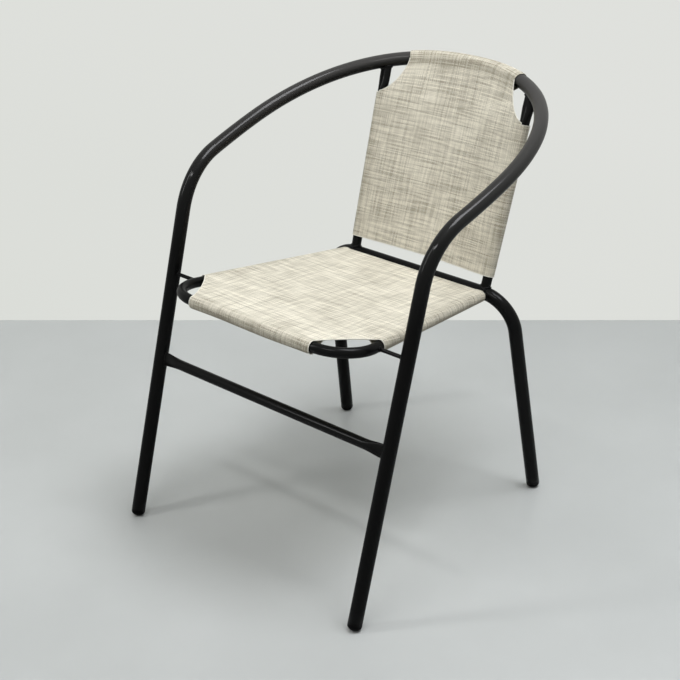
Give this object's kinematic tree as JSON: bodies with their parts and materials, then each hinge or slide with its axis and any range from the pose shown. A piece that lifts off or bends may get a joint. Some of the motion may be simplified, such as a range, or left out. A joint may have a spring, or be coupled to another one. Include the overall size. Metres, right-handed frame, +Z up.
{
  "type": "sling patio chair",
  "caption": "Stacking patio armchair with a welded bent-tube frame, a sling seat and a sling back, and plastic foot caps.",
  "frame": {"origin": "on the floor, under the middle of the chair's bounding box", "axes": "+X to the right as seen from in front of the chair, +Y from the front to the back, +Z up"},
  "size_m": [0.5092, 0.5864, 0.6945],
  "materials": {
    "frame": "black powder coat, satin gloss",
    "foot_caps": "moulded, matt",
    "sling": "woven, slub yarns in cream and grey-beige"
  },
  "bodies": {
    "root": {"arm_hoop": "frame", "rear_leg_bow": "frame", "front_stretcher": "frame", "back_upright_left": "frame", "back_upright_right": "frame", "seat_strut_left": "frame", "seat_strut_right": "frame", "seat_frame": "frame", "rear_seat_bar": "frame", "foot_cap_front_left": "foot_caps", "foot_cap_front_right": "foot_caps", "foot_cap_rear_left": "foot_caps", "foot_cap_rear_right": "foot_caps", "seat_sling": "sling", "back_sling": "sling"}
  },
  "joints": []
}
